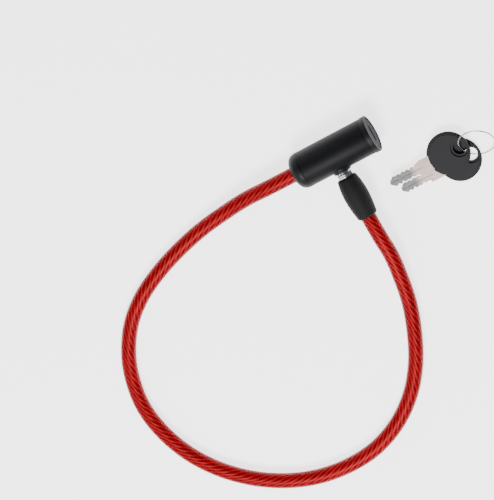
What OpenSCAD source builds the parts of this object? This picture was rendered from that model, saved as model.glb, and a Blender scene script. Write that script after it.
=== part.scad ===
// Cable luggage lock: a key-operated cylinder body, an 11 mm cable loop that ends in
// a latch pin, and two keys on a wire ring. Millimetres, +Z up, lying on the floor.
// +X runs along the body to its key face and -Y is the way the latch pin pulls out.

/* [Lock body] */
// Outer diameter of the plastic sleeve
sleeve_d = 25.6; // [25.4:0.1:31]
// Wall of the plastic sleeve
sleeve_wall = 1.8; // [1.4:0.1:1.9]
// Distance from the latch pin's axis to the key face
key_side_l = 31; // [30.5:0.5:38]
// Distance from the latch pin's axis to the cable end of the body
cable_side_l = 30.5; // [29:0.5:37]
// Corner radius of the end cap where the cable enters
cap_corner_r = 6.5; // [2:0.5:7]
// Length of the end cap that shows behind the sleeve
end_cap_l = 8; // [7:0.5:9]
// How far the rim at the key end stands proud of the sleeve
rim_proud = 0.4; // [0.2:0.1:0.8]
// Length of the rim at the key end
rim_l = 3.8; // [3.4:0.1:4.5]

/* [Plug and wafers] */
// Diameter of the plug
plug_d = 11; // [10.6:0.1:11.6]
// Spacing of the wafers along the plug
wafer_pitch = 2.9; // [2.2:0.1:3.1]
// Thickness of one wafer
wafer_t = 1.2; // [0.9:0.1:1.4]
// How far a wafer springs out of the plug
wafer_travel = 0.8; // [0.5:0.1:0.9]
// Length of the key slot in the dust disc
slot_l = 10.4; // [9:0.1:12]
// Width of the key slot in the dust disc
slot_w = 2.6; // [2.4:0.1:3.2]
// Radius at which the crank drives the bolt
crank_r = 2; // [1.9:0.05:2.1]

/* [Latch pin and ferrule] */
// Diameter of the latch pin
pin_d = 7; // [6.4:0.1:7.4]
// Diameter of the pin in its locking groove
groove_d = 4.6; // [4:0.1:4.7]
// Thickness of the locking bolt's fork
fork_t = 2; // [1.4:0.1:2.4]
// Width over the corners of the pin's faceted shoulder
shoulder_d = 12; // [9:0.1:13]
// Diameter of the ferrule at its ends
ferrule_end_d = 14.6; // [14.4:0.1:16]
// Diameter of the ferrule at its middle
ferrule_mid_d = 17.4; // [16.6:0.1:20]
// Length of the ferrule
ferrule_l = 31; // [28:0.5:38]

/* [Cable] */
// Outer diameter of the cable jacket
cable_d = 11; // [10:0.1:11.4]
// Diameter of the wire rope inside the jacket
rope_d = 8.4; // [7:0.1:8.8]

/* [Keys] */
// Diameter of a key's bow
bow_d = 30; // [29.4:0.1:33]
// Thickness of a bow
bow_t = 3.6; // [3.4:0.1:4]
// Thickness of the bow's thin outer rim
bow_rim_t = 1.4; // [1:0.1:1.5]
// Diameter of the hole in a bow
bow_hole_d = 9; // [8.8:0.1:9.4]
// Distance from the bow's centre to the tip of the blade
blade_reach = 45; // [38:0.5:56]
// Width of the blade where it enters the plug
blade_w = 6.8; // [6.4:0.1:7.6]
// Thickness of the blade
blade_t = 2; // [1.4:0.1:2]
// Diameter of the key ring's wire
ring_wire_d = 0.9; // [0.7:0.05:1]
// Diameter of the key ring along the middle of its wire
ring_d = 25; // [24.8:0.1:25.4]

/* [Hidden] */
$fn = 64;

// Fits
run_gap = 0.08;   // radial gap of a running fit
slide_gap = 0.2;  // gap beside a piece that slides
cut = 0.5;        // how far a cut runs past the face it opens

// Lock body, measured from the crossing of the body's axis and the pin's axis
sleeve_r = sleeve_d / 2;
core_r = sleeve_r - sleeve_wall;
rim_r = sleeve_r + rim_proud;
axis_z = rim_r;                         // the rim and the sleeve lie on the floor
face_x = key_side_l;
rear_x = -cable_side_l;
cap_seam_x = rear_x + end_cap_l;
spigot_r = core_r - 1.5;
cap_web = 4.5;                          // thickness of the end cap at the cable
spigot_x = rear_x + cap_web;
rim_x = face_x - rim_l;

// Dust disc and plug
disc_recess = 0.4;
disc_t = 1.4;
plug_face_x = face_x - disc_recess - disc_t;
core_face_x = plug_face_x - slide_gap;
disc_r = rim_r - 1.6;
plug_r = plug_d / 2;
flange_r = plug_r + 1.5;
flange_t = 1.2;
web_t = 1.3;                            // housing wall behind the plug
web_x = 8.6;                            // rear face of that wall
plug_rear_x = web_x + web_t + 0.1;
tail_r = 3.2;
tail_x = 7.2;
clip_t = 0.8;
clip_x = web_x - clip_t - 0.1;
clip_groove_r = 2.6;
clip_r = 4.6;
keyway_l = blade_w + 1;
keyway_w = blade_t + slide_gap;
keyway_end_x = plug_rear_x + 0.6;

// Wafers
wafer_n = 5;                            // the number of wafer nodes
wafer_x = plug_rear_x + 2.5;            // middle of the first wafer
wafer_half_z = 2.5;
wing_y = [-2.2, -1.2];                  // the lug that the spring pushes on
wing_z = 4;
spring_room_y = 3;
wafer_gap = 0.05;

// Crank and locking bolt
bolt_travel = crank_r * sqrt(2);
crank_at = [-crank_r / sqrt(2), crank_r / sqrt(2)];
crank_pin_r = 1;
drive_x = [4.6, 6.2];                   // the bolt's driver plate, along the body
cam_x = 6.4;
fork_y = 3.8;                           // middle of the fork along the pin
groove_w = fork_t + 0.4;
fork_half_x = 4.6;
fork_low = 0.95;                        // lowest point of the fork when it is locked
fork_top = 5.2;
drive_low = -3.7;
drive_y = -3.6;

// Latch pin and its socket
pin_r = pin_d / 2;
socket_r = pin_r + run_gap;
pin_tip_y = 7.2;
pin_chamfer = 1;
bush_r = 5.6;
bush_in_y = 8;
mouth_y = sleeve_r + 1.9;               // outer face of the bush
collar_y = mouth_y - 1;
shoulder_y = mouth_y + 0.5;
shoulder_t = 2.8;
ferrule_y = shoulder_y + shoulder_t;
pin_neck_r = 3;
pin_neck_l = 11.6;
crimp_y = [ferrule_y + 1.6, ferrule_y + ferrule_l - 4.5];
rope_start_y = ferrule_y + pin_neck_l + 1;

// Cable
cable_r = cable_d / 2;
rope_r = rope_d / 2;
crimp_r = cable_r + 0.5;
jacket_bore_r = rope_r + 0.3;
tube_sides = 12;
anchor_x = [spigot_x + 3.5, spigot_x + 16];
anchor_r = rope_r + 1.6;
anchor_pin_r = 1.1;
anchor_neck_r = anchor_r - 0.8;
anchor_mid_x = (anchor_x[0] + anchor_x[1]) / 2;

// The cable's route on the floor, from the body to the ferrule: x, y, and how far it has
// risen from lying on the floor to the height of the body's axis
LOOP = [
    [-50, 0, 0.9], [-70, 0, 0.55], [-90, -2, 0.2], [-110, -5, 0.05], [-130, -10, 0],
    [-150, -17, 0], [-170, -27, 0], [-187, -41, 0], [-200, -60, 0], [-207, -80, 0],
    [-209, -100, 0], [-205, -122, 0], [-196, -143, 0], [-182, -162, 0], [-164, -178, 0],
    [-143, -190, 0], [-121, -197, 0], [-98, -199, 0], [-76, -196, 0], [-55, -187, 0],
    [-37, -173, 0], [-23, -155, 0], [-13, -135, 0], [-6, -115, 0.05], [-2, -95, 0.3],
    [0, -80, 0.6], [0, -65, 0.9],
];
function lifted(p) = [p[0], p[1], cable_r + p[2] * (axis_z - cable_r)];
loop_points = [for (p = LOOP) lifted(p)];
jacket_route = concat(
    [[anchor_x[0], 0, axis_z], [rear_x, 0, axis_z]],
    loop_points,
    [[0, -ferrule_y - ferrule_l, axis_z], [0, -crimp_y[1], axis_z]]
);
rope_route = concat(
    [[anchor_x[1], 0, axis_z], [spigot_x, 0, axis_z], [rear_x, 0, axis_z]],
    loop_points,
    [[0, -ferrule_y - ferrule_l, axis_z], [0, -crimp_y[1], axis_z], [0, -rope_start_y, axis_z]]
);

// Keys, placed by the middle of the bow; the upper key and the ring are placed from the lower key
bow_r = bow_d / 2;
bow_hole_x = bow_r - 6.4;
bow_land_r = bow_r - 2;
bow_step_r = bow_r - 1;
bow_step_t = (bow_t + bow_rim_t) / 2;
bow_dish_r = bow_hole_d / 2 + 1.8;
bow_slot_x = -bow_r + 9;                // inner end of the blade in the bow
key_stack_gap = 0.15;
lower_key_at = [72.05, -45.03];
upper_key_shift = [-4.05, 7.83];
ring_shift = [16.86, 5.86];
ring_lean = 40;
ring_turn = 68.5;
ring_r = ring_d / 2;
ring_wire_r = ring_wire_d / 2;

// Small helpers

// Puts children on the body's axis, above the floor
module on_axis() {
    translate([0, 0, axis_z]) children();
}

// A round bar along X between two places
module bar_x(x0, x1, r) {
    translate([x0, 0, 0]) rotate([0, 90, 0]) cylinder(h = x1 - x0, r = r);
}

// A round bar along the pin's axis, between two distances towards -Y
module bar_pin(y0, y1, r, r_end = undef) {
    translate([0, -y0, 0]) rotate([90, 0, 0])
        cylinder(h = y1 - y0, r1 = r, r2 = is_undef(r_end) ? r : r_end);
}

// A box between two corners
module block(low, high) {
    translate(low) cube(high - low);
}

// Unit vector
function unit(v) = v / norm(v);

// Direction of a route at point i
function heading(route, i) =
    let (n = len(route) - 1)
    i == 0 ? unit(route[1] - route[0])
    : i == n ? unit(route[n] - route[n - 1])
    : unit(unit(route[i + 1] - route[i]) + unit(route[i] - route[i - 1]));

// One ring of points round a route's point, square to its heading
function route_ring(route, i, r, sides) =
    let (t = heading(route, i), side = unit(cross(t, [0, 0, 1])), up = cross(side, t))
    [for (k = [0:sides - 1]) route[i] + r * (cos(360 * k / sides) * side + sin(360 * k / sides) * up)];

// Quads between ring a and ring b, whose points start at those indices
function band(a, b, sides) =
    [for (k = [0:sides - 1]) [a + k, a + (k + 1) % sides, b + (k + 1) % sides, b + k]];

// A tube swept along a route; a bore of 0 makes it solid
module swept(route, r, bore, sides) {
    n = len(route);
    last = (n - 1) * sides;
    skin = [for (i = [0:n - 1]) each route_ring(route, i, r, sides)];
    skin_faces = [for (i = [0:n - 2]) each band(i * sides, (i + 1) * sides, sides)];
    if (bore == 0) {
        ends = [[for (k = [sides - 1:-1:0]) k], [for (k = [0:sides - 1]) last + k]];
        polyhedron(skin, concat(skin_faces, ends), convexity = 10);
    } else {
        inner = [for (i = [0:n - 1]) each route_ring(route, i, bore, sides)];
        m = n * sides;
        inner_faces = [for (i = [0:n - 2]) each band(m + (i + 1) * sides, m + i * sides, sides)];
        ends = concat(band(m, 0, sides), band(last, m + last, sides));
        polyhedron(concat(skin, inner), concat(skin_faces, inner_faces, ends), convexity = 10);
    }
}

// The points of a coil spring along +Z
function coil(r, length, turns, steps) =
    [for (i = [0:turns * steps])
        [r * cos(360 * i / steps), r * sin(360 * i / steps), length * i / (turns * steps)]];

// A coil spring along +Z that fills the length given, ends included
module coil_spring(r, wire_r, length, turns) {
    route = coil(r, length - 2 * wire_r, turns, 12);
    translate([0, 0, wire_r]) swept(route, wire_r, 0, 6);
}

// Lock body

module body_cover() {
    color("#26262a") on_axis() difference() {
        bar_x(cap_seam_x, rim_x, sleeve_r);
        bar_x(cap_seam_x - cut, rim_x + cut, core_r);
        bar_pin(core_r - 3, sleeve_r + cut, bush_r);
    }
}

// Half section of the end cap: axial place and radius, rounded at the cable end
module end_cap_section() {
    difference() {
        union() {
            translate([cap_corner_r, 0]) square([end_cap_l - cap_corner_r, sleeve_r]);
            square([cap_corner_r + 0.01, sleeve_r - cap_corner_r]);
            translate([cap_corner_r, sleeve_r - cap_corner_r]) intersection() {
                circle(r = cap_corner_r);
                translate([-cap_corner_r, 0]) square(cap_corner_r + 0.01);
            }
        }
        translate([-cut, -cut]) square([cap_web + 2 * cut, cable_r + run_gap + cut]);
        translate([cap_web, -cut]) square([end_cap_l, spigot_r + cut]);
    }
}

module rear_end_cap() {
    color("#242428") on_axis() translate([rear_x, 0, 0]) rotate([0, 90, 0])
        rotate_extrude() rotate(-90) mirror([1, 0]) end_cap_section();
}

module front_cap() {
    color("#2c2b30") on_axis() difference() {
        bar_x(rim_x, face_x, rim_r);
        bar_x(rim_x - cut, core_face_x, core_r);
        bar_x(core_face_x - cut, face_x + cut, disc_r + run_gap);
    }
}

module socket_collar() {
    color("#1f1f22") on_axis() difference() {
        bar_pin(core_r - 1, collar_y, 7.4, 6.3);
        bar_x(-sleeve_r, sleeve_r, sleeve_r);
        bar_pin(core_r - 2, collar_y + cut, bush_r);
    }
}

module socket_bush() {
    color("#c4c4c6") on_axis() difference() {
        bar_pin(bush_in_y, mouth_y, bush_r);
        bar_pin(bush_in_y - cut, mouth_y + cut, socket_r);
        bar_pin(mouth_y - 0.6, mouth_y + 0.01, socket_r, socket_r + 0.7);
    }
}

module lock_housing() {
    color("#8d9093") on_axis() difference() {
        union() {
            bar_x(cap_seam_x, core_face_x, core_r);
            bar_x(spigot_x, cap_seam_x + cut, spigot_r);
        }
        // plug, its flange and its tail
        bar_x(web_x + web_t, core_face_x + cut, plug_r + run_gap);
        bar_x(plug_face_x - flange_t - slide_gap, core_face_x + cut, flange_r + run_gap);
        bar_x(web_x - cut, web_x + web_t + cut, tail_r + run_gap);
        bar_x(clip_x - slide_gap, web_x, clip_r + slide_gap);
        bar_x(cam_x - slide_gap, web_x, tail_r + slide_gap);
        // slots that the wafers spring into, locked and unlocked
        for (turn = [0, 90]) rotate([turn, 0, 0])
            block([wafer_x - wafer_t, -plug_r - wafer_travel - 0.3, -wafer_half_z - 0.1],
                  [wafer_x + (wafer_n - 1) * wafer_pitch + wafer_t, 0, wafer_half_z + 0.1]);
        // pin socket
        bar_pin(-pin_tip_y - 0.6, bush_in_y + cut, socket_r);
        bar_pin(bush_in_y, core_r + cut, bush_r);
        // bolt, its driver plate and the spring above it
        block([-fork_half_x - 0.3, fork_y - groove_w / 2 - 0.05, fork_low - 0.35],
              [drive_x[1] + slide_gap, fork_y + groove_w / 2 + 0.05, core_r + cut]);
        block([drive_x[0] - slide_gap, drive_y - 0.3, drive_low - 0.3],
              [cam_x, fork_y + groove_w / 2 + 0.05, fork_top + bolt_travel + 0.3]);
        // cable anchor and its cross pin
        bar_x(spigot_x - cut, anchor_x[1] + slide_gap, anchor_r + 0.05);
        translate([anchor_mid_x, anchor_neck_r + anchor_pin_r, -core_r])
            cylinder(h = 2 * core_r, r = anchor_pin_r);
    }
}

module cable_anchor() {
    color("#b9babb") on_axis() difference() {
        bar_x(anchor_x[0], anchor_x[1], anchor_r);
        bar_x(anchor_x[0] - cut, anchor_x[1] + cut, rope_r + 0.02);
        difference() {
            bar_x(anchor_mid_x - anchor_pin_r, anchor_mid_x + anchor_pin_r, anchor_r + cut);
            bar_x(anchor_x[0], anchor_x[1], anchor_neck_r);
        }
    }
}

module anchor_pin() {
    pin_half = sqrt(core_r * core_r - pow(anchor_neck_r + 2 * anchor_pin_r, 2)) - 0.3;
    color("#9a9c9e") on_axis() translate([anchor_mid_x, anchor_neck_r + anchor_pin_r, -pin_half])
        cylinder(h = 2 * pin_half, r = anchor_pin_r);
}

module cable_jacket() {
    color("#c8141e") swept(jacket_route, cable_r, jacket_bore_r, tube_sides);
}

module cable_core() {
    color("#a8a9ab") swept(rope_route, rope_r, 0, tube_sides);
}

// Plug group

module dust_disc() {
    color("#4f4c55") on_axis() difference() {
        bar_x(plug_face_x, plug_face_x + disc_t, disc_r);
        block([plug_face_x - cut, -slot_l / 2, -slot_w / 2], [face_x, slot_l / 2, slot_w / 2]);
    }
}

module key_plug() {
    color("#b59a5b") on_axis() difference() {
        union() {
            bar_x(plug_rear_x, plug_face_x, plug_r);
            bar_x(plug_face_x - flange_t, plug_face_x, flange_r);
            difference() {
                bar_x(tail_x, plug_rear_x + 0.1, tail_r);
                difference() {
                    bar_x(clip_x - 0.05, clip_x + clip_t + 0.05, tail_r + cut);
                    bar_x(tail_x - cut, plug_rear_x, clip_groove_r);
                }
            }
        }
        block([keyway_end_x, -keyway_l / 2, -keyway_w / 2], [face_x, keyway_l / 2, keyway_w / 2]);
        for (i = [0:wafer_n - 1]) translate([wafer_x + i * wafer_pitch, 0, 0]) {
            half_t = wafer_t / 2 + wafer_gap;
            block([-half_t, -plug_r - cut, -wafer_half_z - wafer_gap],
                  [half_t, plug_r + cut, wafer_half_z + wafer_gap]);
            block([-half_t, wing_y[0] - wafer_travel - 0.1, 0], [half_t, spring_room_y, wing_z + wafer_gap]);
        }
        block([tail_x - cut, -1.25, -1.25], [tail_x + 0.8, 1.25, 1.25]);
    }
}

module plug_retainer() {
    color("#b4b5b7") on_axis() difference() {
        bar_x(clip_x, clip_x + clip_t, clip_r);
        bar_x(clip_x - cut, clip_x + clip_t + cut, clip_groove_r);
        block([clip_x - cut, -1.6, 0], [clip_x + clip_t + cut, 1.6, clip_r + cut]);
    }
}

module crank_cam() {
    color("#a7a39a") on_axis() {
        bar_x(cam_x, tail_x, tail_r);
        block([tail_x - 0.1, -1.2, -1.2], [tail_x + 0.75, 1.2, 1.2]);
        translate([0, crank_at[0], crank_at[1]]) bar_x(drive_x[0] - 0.1, cam_x + 0.1, crank_pin_r);
    }
}

module wafer(i) {
    color("#c2a55d") on_axis() translate([wafer_x + i * wafer_pitch - wafer_t / 2, 0, 0]) difference() {
        union() {
            intersection() {
                bar_x(0, wafer_t, plug_r - wafer_gap);
                block([0, -plug_r, -wafer_half_z], [wafer_t, plug_r, wafer_half_z]);
            }
            block([0, wing_y[0], wafer_half_z - 0.1], [wafer_t, wing_y[1], wing_z]);
        }
        block([-cut, -keyway_l / 2 + 0.3, -keyway_w / 2], [wafer_t + cut, keyway_l / 2 - 0.3, keyway_w / 2]);
    }
}

module wafer_spring(i) {
    spring_z = (wafer_half_z + wing_z) / 2 + 0.05;
    color("#d0d0d2") on_axis() translate([wafer_x + i * wafer_pitch, wing_y[1] + 0.02, spring_z])
        rotate([-90, 0, 0]) coil_spring(0.42, 0.11, spring_room_y - wing_y[1] - 0.04, 4);
}

// Locking bolt, drawn lifted clear of the pin

module locking_bolt() {
    slot_half = abs(crank_r - crank_r / sqrt(2)) / 2;
    slot_mid = -(crank_r + crank_r / sqrt(2)) / 2;
    slot_r = crank_pin_r + 0.1;
    slot_z = -crank_r / sqrt(2);
    color("#8f8b82") on_axis() translate([0, 0, bolt_travel]) difference() {
        union() {
            block([-fork_half_x, fork_y - fork_t / 2, fork_low],
                  [drive_x[1], fork_y + fork_t / 2, fork_top]);
            block([drive_x[0], drive_y, drive_low], [drive_x[1], fork_y + fork_t / 2, fork_top]);
        }
        bar_pin(-fork_y - fork_t, -fork_y + fork_t, groove_d / 2 + 0.15);
        for (side = [-1, 1]) translate([0, slot_mid + side * slot_half, slot_z])
            bar_x(drive_x[0] - cut, drive_x[1] + cut, slot_r);
        block([drive_x[0] - cut, slot_mid - slot_half, slot_z - slot_r],
              [drive_x[1] + cut, slot_mid + slot_half, slot_z + slot_r]);
    }
}

module bolt_spring() {
    spring_low = fork_top + bolt_travel + 0.02;
    spring_high = sqrt(core_r * core_r - pow(fork_y + 1.1, 2)) - 0.05;
    color("#d0d0d2") on_axis() translate([0, fork_y, spring_low])
        coil_spring(0.8, 0.15, spring_high - spring_low, 3);
}

// Cable end: latch pin, crimp and ferrule

module latch_pin() {
    color("#c9c9cb") on_axis() difference() {
        union() {
            bar_pin(-pin_tip_y + pin_chamfer, shoulder_y, pin_r);
            bar_pin(-pin_tip_y, -pin_tip_y + pin_chamfer, pin_r - pin_chamfer, pin_r);
            translate([0, -shoulder_y, 0]) rotate([90, 42, 0])
                cylinder(h = shoulder_t, d = shoulder_d, $fn = 6);
            bar_pin(shoulder_y, ferrule_y + pin_neck_l, pin_neck_r);
        }
        difference() {
            bar_pin(-fork_y - groove_w / 2, -fork_y + groove_w / 2, pin_r + cut);
            bar_pin(-pin_tip_y, 0, groove_d / 2);
        }
    }
}

module pin_crimp() {
    color("#a9abae") on_axis() difference() {
        bar_pin(crimp_y[0], crimp_y[1], crimp_r);
        bar_pin(crimp_y[0] - cut, ferrule_y + pin_neck_l + 0.2, pin_neck_r);
        bar_pin(ferrule_y + pin_neck_l, crimp_y[1] + cut, rope_r + 0.1);
    }
}

// Radius of the barrel at a share s of its length: rounded ends and a swelling middle
function barrel_r(s) =
    ferrule_end_d / 2 + (ferrule_mid_d - ferrule_end_d) / 2 * sin(180 * pow(s, 0.9));

module ferrule_cover() {
    round_r = 2;
    steps = 14;
    barrel = [for (i = [0:steps]) [barrel_r(i / steps), round_r + (ferrule_l - 2 * round_r) * i / steps]];
    near = [for (a = [0:22.5:67.5]) [ferrule_end_d / 2 - round_r * (1 - sin(a)), round_r * (1 - cos(a))]];
    far = [for (a = [22.5:22.5:90])
        [ferrule_end_d / 2 - round_r * (1 - cos(a)), ferrule_l - round_r * (1 - sin(a))]];
    color("#29292b") on_axis() difference() {
        translate([0, -ferrule_y, 0]) rotate([90, 0, 0])
            rotate_extrude() polygon(concat([[0, 0]], near, barrel, far, [[0, ferrule_l]]));
        bar_pin(ferrule_y - cut, ferrule_y + 3, pin_neck_r);
        bar_pin(crimp_y[0], crimp_y[1], crimp_r);
        bar_pin(crimp_y[1] - cut, ferrule_y + ferrule_l + cut, cable_r + 0.1);
    }
}

// Keys and ring

// Places children in the lower key's own frame: the tip towards -X, the bow's centre at the origin
module at_lower_key() {
    translate([lower_key_at[0], lower_key_at[1], 0]) children();
}

module at_upper_key() {
    at_lower_key() translate([upper_key_shift[0], upper_key_shift[1], bow_t + key_stack_gap])
        children();
}

module key_bow() {
    color("#3c3c3e") difference() {
        union() {
            translate([0, 0, (bow_t - bow_rim_t) / 2]) cylinder(h = bow_rim_t, r = bow_r);
            difference() {
                union() {
                    translate([0, 0, (bow_t - bow_step_t) / 2]) cylinder(h = bow_step_t, r = bow_step_r);
                    cylinder(h = bow_t, r = bow_land_r);
                }
                for (z = [-cut, (bow_t + bow_rim_t) / 2]) translate([bow_hole_x, 0, z])
                    cylinder(h = (bow_t - bow_rim_t) / 2 + cut, r = bow_dish_r);
            }
        }
        translate([bow_hole_x, 0, -cut]) cylinder(h = bow_t + 2 * cut, d = bow_hole_d);
        block([-bow_r - cut, -blade_w / 2 - 1.6, (bow_t - blade_t) / 2],
              [bow_slot_x, blade_w / 2 + 1.6, (bow_t + blade_t) / 2]);
    }
}

// Outline of the blade: stem with one shoulder, two cut edges and a chamfered tip
module blade_outline() {
    stem = blade_w / 2 + 1.6;
    half = blade_w / 2;
    shoulder_x = -bow_r - 9;
    tip = -blade_reach;
    cut_pitch = (shoulder_x - tip - 3.5) / 5;
    lower_cuts = [0.7, 1.2, 0.5, 0.9, 0.4];
    upper_cuts = [0.4, 0.8, 0.6, 1.1, 0.7];
    low_edge = [for (i = [0:4]) each [
        [tip + 3.5 + cut_pitch * (i + 0.15), -half],
        [tip + 3.5 + cut_pitch * (i + 0.4), -half + lower_cuts[i]],
        [tip + 3.5 + cut_pitch * (i + 0.6), -half + lower_cuts[i]],
        [tip + 3.5 + cut_pitch * (i + 0.85), -half]
    ]];
    high_edge = [for (i = [4:-1:0]) each [
        [tip + 3.5 + cut_pitch * (i + 0.85), half],
        [tip + 3.5 + cut_pitch * (i + 0.6), half - upper_cuts[i]],
        [tip + 3.5 + cut_pitch * (i + 0.4), half - upper_cuts[i]],
        [tip + 3.5 + cut_pitch * (i + 0.15), half]
    ]];
    polygon(concat(
        [[tip, -1], [tip + 3, -half]], low_edge,
        [[shoulder_x, -half], [shoulder_x, -stem], [bow_slot_x, -stem], [bow_slot_x, stem]],
        [[shoulder_x + 3, stem], [shoulder_x - 1, half]], high_edge,
        [[tip + 3, half], [tip, 1]]
    ));
}

module key_blade() {
    mill_w = 1.6;
    mill_depth = 0.4;
    low = (bow_t - blade_t) / 2;
    color("#d3c6bf") difference() {
        translate([0, 0, low]) linear_extrude(blade_t) blade_outline();
        for (z = [low - cut, low + blade_t - mill_depth])
            block([-blade_reach - cut, -0.2, z], [-bow_r - 6, mill_w - 0.2, z + cut + mill_depth]);
    }
}

module key_lower_blade() {
    at_lower_key() key_blade();
}

module key_lower_bow() {
    at_lower_key() key_bow();
}

module key_upper_blade() {
    at_upper_key() key_blade();
}

module key_upper_bow() {
    at_upper_key() key_bow();
}

module key_ring() {
    color("#b8b8ba") at_lower_key()
        translate([ring_shift[0], ring_shift[1], ring_wire_r + 0.02 + ring_r * sin(ring_lean)])
            rotate([0, -ring_lean, ring_turn])
                rotate_extrude($fn = 96) translate([ring_r, 0]) circle(r = ring_wire_r, $fn = 24);
}

body_cover();
rear_end_cap();
front_cap();
socket_collar();
socket_bush();
lock_housing();
cable_anchor();
anchor_pin();
cable_jacket();
cable_core();
bolt_spring();
dust_disc();
key_plug();
plug_retainer();
crank_cam();
wafer(0);  // wafer_1
wafer(1);  // wafer_2
wafer(2);  // wafer_3
wafer(3);  // wafer_4
wafer(4);  // wafer_5
wafer_spring(0);  // wafer_spring_1
wafer_spring(1);  // wafer_spring_2
wafer_spring(2);  // wafer_spring_3
wafer_spring(3);  // wafer_spring_4
wafer_spring(4);  // wafer_spring_5
locking_bolt();
latch_pin();
pin_crimp();
ferrule_cover();
key_ring();
key_upper_blade();
key_upper_bow();
key_lower_blade();
key_lower_bow();
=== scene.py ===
import math

import bmesh
import bpy
from mathutils import Matrix, Vector


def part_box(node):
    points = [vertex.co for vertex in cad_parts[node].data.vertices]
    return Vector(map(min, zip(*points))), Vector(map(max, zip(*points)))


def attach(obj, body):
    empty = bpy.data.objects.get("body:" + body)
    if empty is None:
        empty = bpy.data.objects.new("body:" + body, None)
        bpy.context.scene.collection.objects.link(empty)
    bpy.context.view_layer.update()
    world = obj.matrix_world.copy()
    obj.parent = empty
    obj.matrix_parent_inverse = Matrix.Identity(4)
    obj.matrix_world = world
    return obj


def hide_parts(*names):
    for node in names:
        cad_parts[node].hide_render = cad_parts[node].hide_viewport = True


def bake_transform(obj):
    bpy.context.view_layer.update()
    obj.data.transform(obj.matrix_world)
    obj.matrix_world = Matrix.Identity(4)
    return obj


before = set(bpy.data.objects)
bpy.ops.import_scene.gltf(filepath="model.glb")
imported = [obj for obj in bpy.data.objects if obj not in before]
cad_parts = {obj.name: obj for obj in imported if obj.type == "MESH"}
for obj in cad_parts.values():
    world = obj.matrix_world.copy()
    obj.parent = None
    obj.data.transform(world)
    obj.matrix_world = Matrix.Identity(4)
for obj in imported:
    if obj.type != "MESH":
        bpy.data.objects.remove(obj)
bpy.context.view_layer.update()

MM = 0.001
scene = bpy.context.scene

# ---------------------------------------------------------------- camera and room

# Steep view onto the floor, leaning a little towards the key face, and rolled so that
# the lock's body rises to the right
TO_CAMERA = Vector((0.27, 0.14, 1.0)).normalized()
ROLL = math.radians(27.6)
VIEW_HEIGHT = 338 * MM
VIEW_CENTRE = (-58.2 * MM, -65.0 * MM)     # right and up from the lock's crossing point
CAMERA_DISTANCE = 2.2
AXIS_Z = (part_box("body_cover")[0][2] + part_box("body_cover")[1][2]) / 2


def view_axes():
    """The picture's right and up directions."""
    level = (Vector((1, 0, 0)) - TO_CAMERA.x * TO_CAMERA).normalized()
    across = TO_CAMERA.cross(level)
    right = math.cos(ROLL) * level - math.sin(ROLL) * across
    up = math.sin(ROLL) * level + math.cos(ROLL) * across
    return right, up


def make_camera():
    right, up = view_axes()
    aim = Vector((0, 0, AXIS_Z)) + right * VIEW_CENTRE[0] + up * VIEW_CENTRE[1]
    data = bpy.data.cameras.new("camera")
    data.sensor_fit = "VERTICAL"
    data.sensor_height = 24
    data.lens = data.sensor_height * CAMERA_DISTANCE / VIEW_HEIGHT
    data.clip_end = 20
    camera = bpy.data.objects.new("camera", data)
    turn = Matrix((right, up, TO_CAMERA)).transposed().to_4x4()
    camera.matrix_world = Matrix.Translation(aim + TO_CAMERA * CAMERA_DISTANCE) @ turn
    scene.collection.objects.link(camera)
    scene.camera = camera


def add_softbox(name, place, aim, size, watts):
    """A square studio softbox at place, facing aim."""
    data = bpy.data.lights.new(name, "AREA")
    data.size = size
    data.energy = watts
    lamp = bpy.data.objects.new(name, data)
    way = Vector(place) - Vector(aim)
    lamp.matrix_world = Matrix.Translation(place) @ way.to_track_quat("Z", "Y").to_matrix().to_4x4()
    scene.collection.objects.link(lamp)


make_camera()

# ---------------------------------------------------------------- materials


def srgb(code):
    """A #RRGGBB colour as linear RGBA."""
    shares = [int(code[i:i + 2], 16) / 255 for i in (1, 3, 5)]
    return [c / 12.92 if c <= 0.04045 else ((c + 0.055) / 1.055) ** 2.4 for c in shares] + [1.0]


def add_node(tree, kind, settings=None, inputs=None):
    """One node, with its settings, its socket values, and its links where a value is a socket."""
    node = tree.nodes.new(kind)
    for key, value in (settings or {}).items():
        setattr(node, key, value)
    for key, value in (inputs or {}).items():
        if isinstance(value, bpy.types.NodeSocket):
            tree.links.new(value, node.inputs[key])
        else:
            node.inputs[key].default_value = value
    return node


def start_material(name, colour, metallic=0.0, roughness=0.5, ior=None):
    """A Principled material with plain values, and its tree and shader."""
    material = bpy.data.materials.new(name)
    material.use_nodes = True
    tree = material.node_tree
    shader = tree.nodes["Principled BSDF"]
    shader.inputs["Base Color"].default_value = srgb(colour)
    shader.inputs["Metallic"].default_value = metallic
    shader.inputs["Roughness"].default_value = roughness
    if ior:
        shader.inputs["IOR"].default_value = ior
    return material, tree, shader


def add_ramp(tree, value, stops):
    """A colour ramp over a value: stops are (place, #RRGGBB)."""
    ramp = add_node(tree, "ShaderNodeValToRGB", inputs={"Fac": value})
    points = ramp.color_ramp.elements
    while len(points) < len(stops):
        points.new(0.5)
    for point, (place, colour) in zip(points, stops):
        point.position = place
        point.color = srgb(colour)
    return ramp.outputs["Color"]


def add_spread(tree, value, low, high):
    """A value from 0 to 1 spread between low and high."""
    spread = add_node(tree, "ShaderNodeMapRange", inputs={"Value": value, "To Min": low, "To Max": high})
    return spread.outputs["Result"]


def per_mm(size):
    """A texture's scale for features of that size in millimetres, on coordinates in metres."""
    return 1 / (size * MM)


def add_noise(tree, place, size, detail):
    """Noise from 0 to 1, with features of that size in millimetres."""
    noise = add_node(tree, "ShaderNodeTexNoise", inputs={
        "Vector": place, "Scale": per_mm(size), "Detail": detail})
    return noise.outputs["Fac"]


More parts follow.
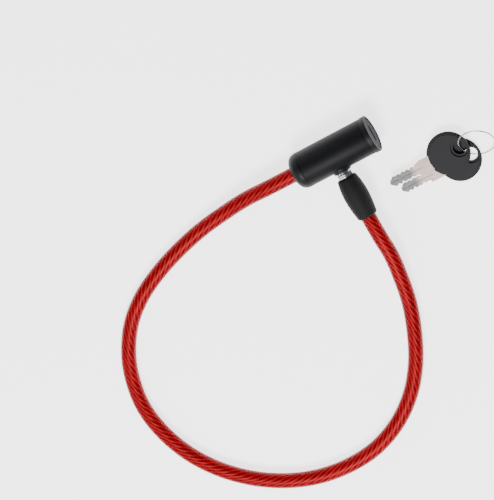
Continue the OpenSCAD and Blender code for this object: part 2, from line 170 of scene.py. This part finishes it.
def add_math(tree, operation, *values, clamp=False):
    """One sum on numbers or sockets."""
    settings = {"operation": operation, "use_clamp": clamp}
    return add_node(tree, "ShaderNodeMath", settings, dict(enumerate(values))).outputs["Value"]


def add_bump(tree, shader, height, strength, depth):
    """Raises the surface by a height, as deep as depth in millimetres."""
    bump = add_node(tree, "ShaderNodeBump", inputs={
        "Height": height, "Strength": strength, "Distance": depth * MM})
    tree.links.new(bump.outputs["Normal"], shader.inputs["Normal"])


def grained_plastic(name, dark, light, grain, roughness, depth, shine=0.5):
    """Moulded black plastic: a spark-eroded grain, slightly uneven gloss and cloudy tone."""
    material, tree, shader = start_material(name, dark, roughness=sum(roughness) / 2, ior=1.5)
    shader.inputs["Specular IOR Level"].default_value = shine
    place = add_node(tree, "ShaderNodeTexCoord").outputs["Object"]
    fine = add_noise(tree, place, grain, 3.0)
    cloud = add_noise(tree, place, 9, 2.0)
    tone = add_ramp(tree, cloud, [(0.3, dark), (0.7, light)])
    tree.links.new(tone, shader.inputs["Base Color"])
    tree.links.new(add_spread(tree, cloud, *roughness), shader.inputs["Roughness"])
    add_bump(tree, shader, fine, depth, 0.05)
    return material


def worked_metal(name, colour, shade, roughness, grain, stretch, depth=0.15):
    """Bare or plated metal: fine marks drawn out along one way, and a faint change of tone."""
    material, tree, shader = start_material(name, colour, metallic=1.0, roughness=sum(roughness) / 2)
    place = add_node(tree, "ShaderNodeTexCoord").outputs["Object"]
    drawn = add_node(tree, "ShaderNodeMapping", inputs={"Vector": place, "Scale": stretch})
    marks = add_noise(tree, drawn.outputs["Vector"], grain, 4.0)
    tone = add_ramp(tree, marks, [(0.25, shade), (0.65, colour)])
    tree.links.new(tone, shader.inputs["Base Color"])
    tree.links.new(add_spread(tree, marks, *roughness), shader.inputs["Roughness"])
    add_bump(tree, shader, marks, depth, 0.02)
    return material


# Moulded ABS with a satin, spark-eroded skin: a soft, cool highlight on near black
SLEEVE_ABS = grained_plastic("satin_black_abs", "#0D0D10", "#131318", 0.5, (0.46, 0.54), 0.15, 0.12)
# The same ABS in the two end pieces, a shade darker
CAP_ABS = grained_plastic("dark_abs_caps", "#0B0B0D", "#111114", 0.5, (0.46, 0.56), 0.15, 0.2)
# Thick moulded PVC on the ferrule: nearly matte, even charcoal
FERRULE_PVC = grained_plastic("matte_black_pvc", "#141415", "#191919", 0.6, (0.66, 0.76), 0.2, 0.2)
# Nylon bows with a coarser moulded grain
BOW_NYLON = grained_plastic("grained_black_nylon", "#131316", "#1B1B1F", 0.7, (0.5, 0.62), 0.6, 0.25)
# Electroplated latch pin and socket: bright, hardly marked
BRIGHT_PLATE = worked_metal("bright_nickel_plate", "#B4B4B8", "#86868B", (0.2, 0.32), 0.5, (1, 3, 1))
# Drawn wire of the key ring, with marks along it too fine to see singly
RING_WIRE = worked_metal("drawn_ring_wire", "#BDBDC0", "#8F8F93", (0.14, 0.26), 0.6, (1, 1, 1))
# Turned and blanked steel of the inner pieces
PLAIN_STEEL = worked_metal("machined_steel", "#A9ABAE", "#85878A", (0.28, 0.42), 0.5, (1, 4, 4))
# Hard-drawn spring wire
SPRING_STEEL = worked_metal("spring_wire", "#C4C4C8", "#9A9A9F", (0.2, 0.3), 0.3, (1, 1, 1))
# Turned brass plug and stamped brass wafers
TURNED_BRASS = worked_metal("turned_brass", "#C6A55A", "#9B7C3A", (0.25, 0.4), 0.5, (6, 1, 1))
# Die-cast zinc: a dull grey skin with shallow flow marks
CAST_ZINC = worked_metal("die_cast_zinc", "#94979A", "#74777A", (0.42, 0.6), 1.5, (1, 1, 1), 0.4)


def disc_plastic():
    """The dust disc: a purplish dark grey acetal, matte, with faint moulding rings round its middle."""
    material, tree, shader = start_material("dark_acetal_disc", "#2E2B34", roughness=0.7, ior=1.48)
    shader.inputs["Specular IOR Level"].default_value = 0.08
    place = add_node(tree, "ShaderNodeTexCoord").outputs["Object"]
    centred = add_node(tree, "ShaderNodeMapping", {"vector_type": "POINT"}, {
        "Vector": place, "Location": (0, 0, -AXIS_Z)})
    rings = add_node(tree, "ShaderNodeTexWave", {
        "wave_type": "RINGS", "rings_direction": "X"}, {
        "Vector": centred.outputs["Vector"], "Scale": per_mm(20), "Distortion": 0.4, "Detail": 1.0})
    tone = add_ramp(tree, add_noise(tree, place, 3, 3.0), [(0.3, "#28252E"), (0.7, "#34313B")])
    tree.links.new(tone, shader.inputs["Base Color"])
    add_bump(tree, shader, rings.outputs["Fac"], 0.12, 0.03)
    return material


def blade_nickel():
    """Stamped key blade: warm nickel plate, brushed along its length, grey where the cuts are milled."""
    material, tree, shader = start_material("nickel_plated_blade", "#DDCBC5", metallic=0.5, roughness=0.34)
    place = add_node(tree, "ShaderNodeTexCoord").outputs["Object"]
    along = add_node(tree, "ShaderNodeSeparateXYZ", inputs={"Vector": place})
    brushed = add_node(tree, "ShaderNodeMapping", inputs={"Vector": place, "Scale": (0.12, 1, 1)})
    lines = add_noise(tree, brushed.outputs["Vector"], 0.5, 3.0)
    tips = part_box("key_upper_blade")[0][0]
    greyness = add_node(tree, "ShaderNodeMapRange", inputs={
        "Value": along.outputs["X"], "From Min": tips + 15 * MM, "From Max": tips + 20 * MM,
        "To Min": 1.0, "To Max": 0.0})
    warm = add_ramp(tree, lines, [(0.3, "#A8938C"), (0.7, "#CDB8B1")])
    grey = add_ramp(tree, lines, [(0.3, "#585858"), (0.7, "#7A7978")])
    tone = add_node(tree, "ShaderNodeMix", {"data_type": "RGBA"}, {
        "Factor": greyness.outputs["Result"], "A": warm, "B": grey})
    tree.links.new(tone.outputs["Result"], shader.inputs["Base Color"])
    tree.links.new(add_spread(tree, lines, 0.26, 0.42), shader.inputs["Roughness"])
    add_bump(tree, shader, lines, 0.2, 0.02)
    return material


DISC_ACETAL = disc_plastic()
BLADE_NICKEL = blade_nickel()

# ---------------------------------------------------------------- cable

CABLE_R = 5.5 * MM
ROPE_R = 5.3 * MM                     # as wide as the rope looks through the clear jacket
STRAND_DEPTH = 0.25 * MM              # from a strand's crown down to the next valley
STRANDS = 13
LAY_LENGTH = 72 * MM                  # one full turn of a strand round the rope
STRAND_POINTS = 7                     # points across one strand in the rope's section
WIRES_ACROSS = 3.0                    # streaks of fine wire across one strand
WIRE_STREAK = 4.5                     # how long one streak is, in millimetres

# Route of the cable on the floor, from the body to the ferrule, in millimetres: x, y, and
# how far it has risen from lying on the floor to the height of the body's axis
LOOP = [
    (-50, 0, 0.9), (-70, 0, 0.55), (-90, -2, 0.2), (-110, -5, 0.05), (-130, -10, 0),
    (-150, -17, 0), (-170, -27, 0), (-187, -41, 0), (-200, -60, 0), (-207, -80, 0),
    (-209, -100, 0), (-205, -122, 0), (-196, -143, 0), (-182, -162, 0), (-164, -178, 0),
    (-143, -190, 0), (-121, -197, 0), (-98, -199, 0), (-76, -196, 0), (-55, -187, 0),
    (-37, -173, 0), (-23, -155, 0), (-13, -135, 0), (-6, -115, 0.05), (-2, -95, 0.3),
    (0, -80, 0.6), (0, -65, 0.9),
]
EXIT = Vector((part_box("rear_end_cap")[0][0], 0, AXIS_Z))
ENTRY = Vector((0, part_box("ferrule_cover")[0][1], AXIS_Z))
INSIDE = 4.4 * MM                     # how far each end runs on inside its fitting


def smooth_route(points, step):
    """A smooth line through the points, with a point about every step."""
    line = [Vector(p) for p in points]
    padded = [2 * line[0] - line[1]] + line + [2 * line[-1] - line[-2]]
    route = []
    for a, b, c, d in zip(padded, padded[1:], padded[2:], padded[3:]):
        pieces = max(2, round((c - b).length / step))
        for k in range(pieces):
            t = k / pieces
            route.append(0.5 * (2 * b + (c - a) * t + (2 * a - 5 * b + 4 * c - d) * t * t
                                + (3 * b - a - 3 * c + d) * t ** 3))
    return route + [line[-1]]


def sweep_section(name, route, section, turn_length=None):
    """A tube along a route. section gives the radius at each share of the way round, and
    turn_length is the length in which it twists once. Its UV map holds the share of the way
    round, and the distance along in metres."""
    sides = len(section)
    shape = bmesh.new()
    around = shape.loops.layers.uv.new("UVMap")
    rings, far, far_at = [], 0.0, []
    for i, point in enumerate(route):
        before, after = route[max(i - 1, 0)], route[min(i + 1, len(route) - 1)]
        heading = (after - before).normalized()
        side = heading.cross(Vector((0, 0, 1))).normalized()
        up = side.cross(heading)
        far += (point - route[i - 1]).length if i else 0.0
        twist = 2 * math.pi * far / turn_length if turn_length else 0.0
        ring = []
        for k, radius in enumerate(section):
            angle = 2 * math.pi * k / sides + twist
            ring.append(shape.verts.new(point + radius * (math.cos(angle) * side + math.sin(angle) * up)))
        rings.append(ring)
        far_at.append(far)
    for i in range(len(rings) - 1):
        for k in range(sides):
            n = (k + 1) % sides
            face = shape.faces.new((rings[i][k], rings[i + 1][k], rings[i + 1][n], rings[i][n]))
            spots = ((k, i), (k, i + 1), (k + 1, i + 1), (k + 1, i))
            for loop, (u, v) in zip(face.loops, spots):
                loop[around].uv = (u / sides, far_at[v])
    for ring in (rings[0], rings[-1]):
        shape.faces.new(ring)
    bmesh.ops.recalc_face_normals(shape, faces=shape.faces)
    return finish_mesh(name, shape)


def finish_mesh(name, shape, material=None, smooth=True):
    """An object made of a finished bmesh, smooth except at the caps' corners."""
    mesh = bpy.data.meshes.new(name)
    for face in shape.faces:
        face.smooth = smooth
    for edge in shape.edges:
        edge.smooth = not (len(edge.link_faces) == 2 and edge.calc_face_angle() > math.radians(40))
    shape.to_mesh(mesh)
    shape.free()
    piece = bpy.data.objects.new(name, mesh)
    scene.collection.objects.link(piece)
    if material:
        mesh.materials.append(material)
    return piece


def rope_steel():
    """Galvanised wire rope wetted by the red PVC round it: each strand has a painted highlight along its
    middle and painted shade where it meets the next, with the fine wires of a strand crossing it."""
    material, tree, shader = start_material("wire_rope_in_red", "#A00A0A", metallic=0.3, roughness=0.42)
    shader.inputs["Specular IOR Level"].default_value = 0.25
    spot = add_node(tree, "ShaderNodeUVMap", {"uv_map": "UVMap"})
    split = add_node(tree, "ShaderNodeSeparateXYZ", inputs={"Vector": spot.outputs["UV"]})
    strand = add_math(tree, "MULTIPLY", split.outputs["X"], float(STRANDS))
    share = add_math(tree, "FRACT", strand)
    # Painted highlight along the middle of each strand and painted shade in the valley between strands
    crown_highlight_valley_shade = add_math(tree, "MULTIPLY", add_math(tree, "PINGPONG", share, 0.5), 2.0)
    wires = add_node(tree, "ShaderNodeCombineXYZ", inputs={
        "X": add_math(tree, "MULTIPLY", strand, WIRES_ACROSS),
        "Y": add_math(tree, "MULTIPLY", split.outputs["Y"], per_mm(WIRE_STREAK))})
    streak = add_node(tree, "ShaderNodeTexNoise", inputs={
        "Vector": wires.outputs["Vector"], "Scale": 1.0, "Detail": 3.0}).outputs["Fac"]
    mixed = add_math(tree, "MULTIPLY_ADD", streak, 0.4, -0.2)
    light = add_math(tree, "ADD", crown_highlight_valley_shade, mixed, clamp=True)
    # Colour from the painted light: dark red is painted shade in the valleys, bright red is the painted
    # highlight
    tone = add_ramp(tree, light, [(0.1, "#400206"), (0.4, "#8A0310"), (0.95, "#DE141E")])
    tree.links.new(tone, shader.inputs["Base Color"])
    add_bump(tree, shader, streak, 0.2, 0.15)
    return material


def jacket_pvc():
    """Clear red extruded PVC, glossy and slightly wavy, so that the strands show through it."""
    material, tree, shader = start_material("clear_red_pvc", "#8A0307", roughness=0.26, ior=1.53)
    shader.inputs["Specular IOR Level"].default_value = 0.4
    shader.inputs["Specular Tint"].default_value = srgb("#FF3C38")
    shader.inputs["Alpha"].default_value = 0.45
    place = add_node(tree, "ShaderNodeTexCoord").outputs["Object"]
    wave = add_noise(tree, place, 6, 2.0)
    tone = add_ramp(tree, wave, [(0.3, "#7C020B"), (0.7, "#A00514")])
    tree.links.new(tone, shader.inputs["Base Color"])
    add_bump(tree, shader, wave, 0.25, 0.2)
    return material


def make_cable():
    rise = AXIS_Z - CABLE_R
    loop = [Vector((x * MM, y * MM, CABLE_R + share * rise)) for x, y, share in LOOP]
    points = [EXIT + Vector((INSIDE, 0, 0)), EXIT] + loop + [ENTRY, ENTRY + Vector((0, INSIDE, 0))]
    route = smooth_route(points, 4 * MM)
    jacket = sweep_section("cable_jacket_skin", route, [CABLE_R] * 28)
    jacket.data.materials.append(jacket_pvc())

    dips = [(1 + math.cos(2 * math.pi * k / STRAND_POINTS)) / 2 for k in range(STRAND_POINTS)]
    section = [ROPE_R - STRAND_DEPTH * dips[k % STRAND_POINTS] for k in range(STRANDS * STRAND_POINTS)]
    fine_route = smooth_route(points, 2 * MM)
    rope = sweep_section("cable_wire_rope", fine_route, section, LAY_LENGTH)
    rope.data.materials.append(rope_steel())

    # The two sweeps stand in for the CAD cable's nodes, which are hidden
    for piece, node, slot in ((jacket, "cable_jacket", "red_pvc"), (rope, "cable_core", "wire_rope")):
        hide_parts(node)
        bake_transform(piece)


make_cable()

# ---------------------------------------------------------------- hard pieces


def merged_copy(node):
    """A bmesh copy of a CAD node with its loose triangles joined and its flats made whole."""
    shape = bmesh.new()
    shape.from_mesh(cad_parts[node].data)
    bmesh.ops.remove_doubles(shape, verts=shape.verts, dist=0.0005 * MM)
    bmesh.ops.dissolve_limit(
        shape, angle_limit=math.radians(0.5), use_dissolve_boundaries=False,
        verts=shape.verts, edges=shape.edges, delimit=set())
    return shape


def add_edge_round(piece, width, segments=3, angle=30):
    """Rounds a piece's sharp edges by width, as a mould or a tumbler leaves them."""
    bevel = piece.modifiers.new("rounded_edges", "BEVEL")
    bevel.width = width
    bevel.segments = segments
    bevel.limit_method = "ANGLE"
    bevel.angle_limit = math.radians(angle)
    bevel.harden_normals = True
    bevel.use_clamp_overlap = True


def refine(node, name, body, material, edge):
    """A finished piece in a CAD node's place: the same shape with rounded edges."""
    shape = merged_copy(node)
    piece = finish_mesh(name, shape, material)
    add_edge_round(piece, edge)
    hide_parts(node)
    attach(piece, body)
    return piece


def spin_profile(points, axis, centre, steps=96):
    """A closed solid of revolution round an axis: points are (along, radius), in metres."""
    axis = Vector(axis)
    out = Vector((0, 0, 1))
    shape = bmesh.new()
    corners = [shape.verts.new(centre + axis * along + out * radius) for along, radius in points]
    edges = [shape.edges.new((a, b)) for a, b in zip(corners, corners[1:] + corners[:1])]
    bmesh.ops.spin(
        shape, geom=corners + edges, axis=axis, cent=centre, dvec=(0, 0, 0),
        angle=2 * math.pi, steps=steps, use_merge=True, use_duplicate=False)
    bmesh.ops.remove_doubles(shape, verts=shape.verts, dist=0.001 * MM)
    bmesh.ops.recalc_face_normals(shape, faces=shape.faces)
    return shape


def arc(centre, radius, start, end, steps):
    """Points along an arc in a profile, from start to end in degrees."""
    turns = [math.radians(start + (end - start) * k / steps) for k in range(steps + 1)]
    return [(centre[0] + radius * math.cos(t), centre[1] + radius * math.sin(t)) for t in turns]


BODY_CENTRE = Vector((0, 0, AXIS_Z))
SLEEVE_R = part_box("body_cover")[1][1]
SLEEVE_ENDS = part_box("body_cover")[0][0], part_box("body_cover")[1][0]
CORE_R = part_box("lock_housing")[1][1]
SOFT = 0.3 * MM                       # rounding of a moulded edge
HOLE_SPAN = 8 * MM, 16 * MM           # from the body's axis, either side of the sleeve's wall
CAP_CORNER = 6.5 * MM                 # rounding of the end cap
CAP_LIP = 0.5 * MM                    # lead-in round the cable
CAP_WEB = 4.5 * MM                    # thickness of the end cap behind the cable's hole
SPIGOT_GAP = 1.5 * MM                 # from the housing's radius down to the spigot's
RIM_LIP = 0.6 * MM
FERRULE_END_R = 7.3 * MM
FERRULE_ROUND = 2 * MM                # rounding of the grip's two ends
NECK_R = 3 * MM                       # latch pin's neck inside the grip
CRIMP_R = CABLE_R + 0.5 * MM
CRIMP_INSET = 1.6 * MM                # from the grip's pin end to the crimp


def make_sleeve():
    """The sleeve, spun, with its side hole for the socket."""
    low, high = SLEEVE_ENDS
    inner = CORE_R + 0.01 * MM
    profile = [(low, inner), (low, SLEEVE_R - SOFT)]
    profile += arc((low + SOFT, SLEEVE_R - SOFT), SOFT, 180, 90, 4)[1:]
    profile += arc((high - SOFT, SLEEVE_R - SOFT), SOFT, 90, 0, 4)
    profile += [(high, inner)]
    sleeve = finish_mesh("sleeve_shell", spin_profile(profile, (1, 0, 0), BODY_CENTRE), SLEEVE_ABS)
    hole_r = (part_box("socket_bush")[1][0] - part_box("socket_bush")[0][0]) / 2
    hole = finish_mesh("hole", spin_profile(
        [(HOLE_SPAN[0], 0), (HOLE_SPAN[0], hole_r), (HOLE_SPAN[1], hole_r), (HOLE_SPAN[1], 0)],
        (0, -1, 0), BODY_CENTRE))
    cutter = sleeve.modifiers.new("socket_hole", "BOOLEAN")
    cutter.operation = "DIFFERENCE"
    cutter.object = hole
    cutter.solver = "EXACT"
    bpy.context.view_layer.update()
    graph = bpy.context.evaluated_depsgraph_get()
    done = bpy.data.meshes.new_from_object(sleeve.evaluated_get(graph))
    sleeve.modifiers.clear()
    sleeve.data = done
    done.name = "sleeve_shell"
    bpy.data.objects.remove(hole)
    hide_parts("body_cover")
    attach(sleeve, "lock")


def make_end_cap():
    """The rounded cap at the cable end, with a small lead-in round the cable."""
    low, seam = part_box("rear_end_cap")[0][0], SLEEVE_ENDS[0]
    bore = CABLE_R + 0.08 * MM
    web = low + CAP_WEB
    spigot = CORE_R - SPIGOT_GAP
    profile = [(web, bore), (low + CAP_LIP, bore)]
    profile += arc((low + CAP_LIP, bore + CAP_LIP), CAP_LIP, 270, 180, 4)[1:]
    profile += arc((low + CAP_CORNER, SLEEVE_R - CAP_CORNER), CAP_CORNER, 180, 90, 14)
    profile += arc((seam - SOFT, SLEEVE_R - SOFT), SOFT, 90, 0, 4)
    profile += [(seam, spigot), (web, spigot)]
    cap = finish_mesh("cable_end_cap", spin_profile(profile, (1, 0, 0), BODY_CENTRE), CAP_ABS)
    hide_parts("rear_end_cap")
    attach(cap, "lock")


def make_rim():
    """The rim at the key end: a turned-over lip round the dust disc."""
    low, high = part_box("front_cap")[0][0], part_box("front_cap")[1][0]
    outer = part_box("front_cap")[1][1]
    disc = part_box("dust_disc")[1][1] + 0.08 * MM
    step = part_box("lock_housing")[1][0]
    profile = [(low, CORE_R), (low, outer - SOFT)]
    profile += arc((low + SOFT, outer - SOFT), SOFT, 180, 90, 4)[1:]
    profile += arc((high - RIM_LIP, outer - RIM_LIP), RIM_LIP, 90, 0, 6)
    profile += arc((high - SOFT, disc + SOFT), SOFT, 0, -90, 4)
    profile += [(step, disc), (step, CORE_R)]
    rim = finish_mesh("key_end_rim", spin_profile(profile, (1, 0, 0), BODY_CENTRE), CAP_ABS)
    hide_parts("front_cap")
    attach(rim, "lock")


def make_ferrule():
    """The barrel grip on the cable's end: rounded ends and a swelling middle."""
    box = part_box("ferrule_cover")
    top, length = -box[1][1], box[1][1] - box[0][1]
    middle_r, bore = box[1][0], CABLE_R + 0.1 * MM
    mouth, steps = top + length, 30
    profile = [(top, NECK_R)]
    for angle in range(0, 90, 10):
        drop = 1 - math.sin(math.radians(angle))
        profile.append((top + FERRULE_ROUND * (1 - math.cos(math.radians(angle))),
                        FERRULE_END_R - FERRULE_ROUND * drop))
    for k in range(steps + 1):
        share = k / steps
        swell = (middle_r - FERRULE_END_R) * math.sin(math.pi * share ** 0.9)
        profile.append((top + FERRULE_ROUND + (length - 2 * FERRULE_ROUND) * share, FERRULE_END_R + swell))
    for angle in range(10, 61, 10):
        drop = 1 - math.cos(math.radians(angle))
        profile.append((mouth - FERRULE_ROUND * (1 - math.sin(math.radians(angle))),
                        FERRULE_END_R - FERRULE_ROUND * drop))
    profile += [(mouth, bore + SOFT), (mouth - SOFT, bore), (mouth - INSIDE, bore),
                (mouth - INSIDE, CRIMP_R), (top + CRIMP_INSET, CRIMP_R), (top + CRIMP_INSET, NECK_R)]
    grip = finish_mesh("ferrule_grip", spin_profile(profile, (0, -1, 0), BODY_CENTRE), FERRULE_PVC)
    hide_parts("ferrule_cover")
    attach(grip, "latch")


make_sleeve()
make_end_cap()
make_rim()
make_ferrule()
refine("socket_collar", "socket_boss", "lock", CAP_ABS, 0.3 * MM)
refine("socket_bush", "socket_liner", "lock", BRIGHT_PLATE, 0.12 * MM)
refine("dust_disc", "slotted_disc", "plug", DISC_ACETAL, 0.3 * MM)
refine("latch_pin", "plated_latch_pin", "latch", BRIGHT_PLATE, 0.3 * MM)
for key in ("upper", "lower"):
    refine(f"key_{key}_blade", f"{key}_key_blade", f"{key}_key", BLADE_NICKEL, 0.18 * MM)
    refine(f"key_{key}_bow", f"{key}_key_bow", f"{key}_key", BOW_NYLON, 0.35 * MM)
refine("key_ring", "wire_key_ring", "key_ring", RING_WIRE, 0.01 * MM)

# ---------------------------------------------------------------- inner pieces

INNER = {
    "lock_housing": CAST_ZINC, "cable_anchor": PLAIN_STEEL, "anchor_pin": PLAIN_STEEL,
    "bolt_spring": SPRING_STEEL, "key_plug": TURNED_BRASS, "plug_retainer": PLAIN_STEEL,
    "crank_cam": PLAIN_STEEL, "locking_bolt": PLAIN_STEEL, "pin_crimp": PLAIN_STEEL,
}
INNER.update({f"wafer_{i}": TURNED_BRASS for i in range(1, 6)})
INNER.update({f"wafer_spring_{i}": SPRING_STEEL for i in range(1, 6)})
for node, material in INNER.items():
    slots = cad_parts[node].data.materials
    slots.clear()
    slots.append(material)

# ---------------------------------------------------------------- floor and light


def make_floor():
    """A pale, plain studio floor just under the object."""
    shape = bmesh.new()
    bmesh.ops.create_grid(shape, x_segments=1, y_segments=1, size=4)
    bmesh.ops.translate(shape, verts=shape.verts, vec=(0, 0, -0.1 * MM))
    material, _, shader = start_material("pale_floor", "#F2F2F2", roughness=0.8)
    shader.inputs["Emission Color"].default_value = srgb("#FFFFFF")
    shader.inputs["Emission Strength"].default_value = 2.6
    finish_mesh("floor", shape, material)


def make_light():
    """A bright even room and three softboxes."""
    world = bpy.data.worlds.new("room")
    world.use_nodes = True
    back = world.node_tree.nodes["Background"]
    back.inputs["Color"].default_value = (1.0, 1.0, 1.0, 1.0)
    back.inputs["Strength"].default_value = 0.2
    scene.world = world
    aim = (-0.05, -0.06, 0)
    add_softbox("front_light", (-0.4, -0.75, 1.35), aim, 0.6, 36)
    add_softbox("back_light", (-0.6, 1.3, 0.8), aim, 0.6, 4)
    add_softbox("left_light", (-1.5, -0.2, 1.0), aim, 0.5, 5)


make_floor()
make_light()
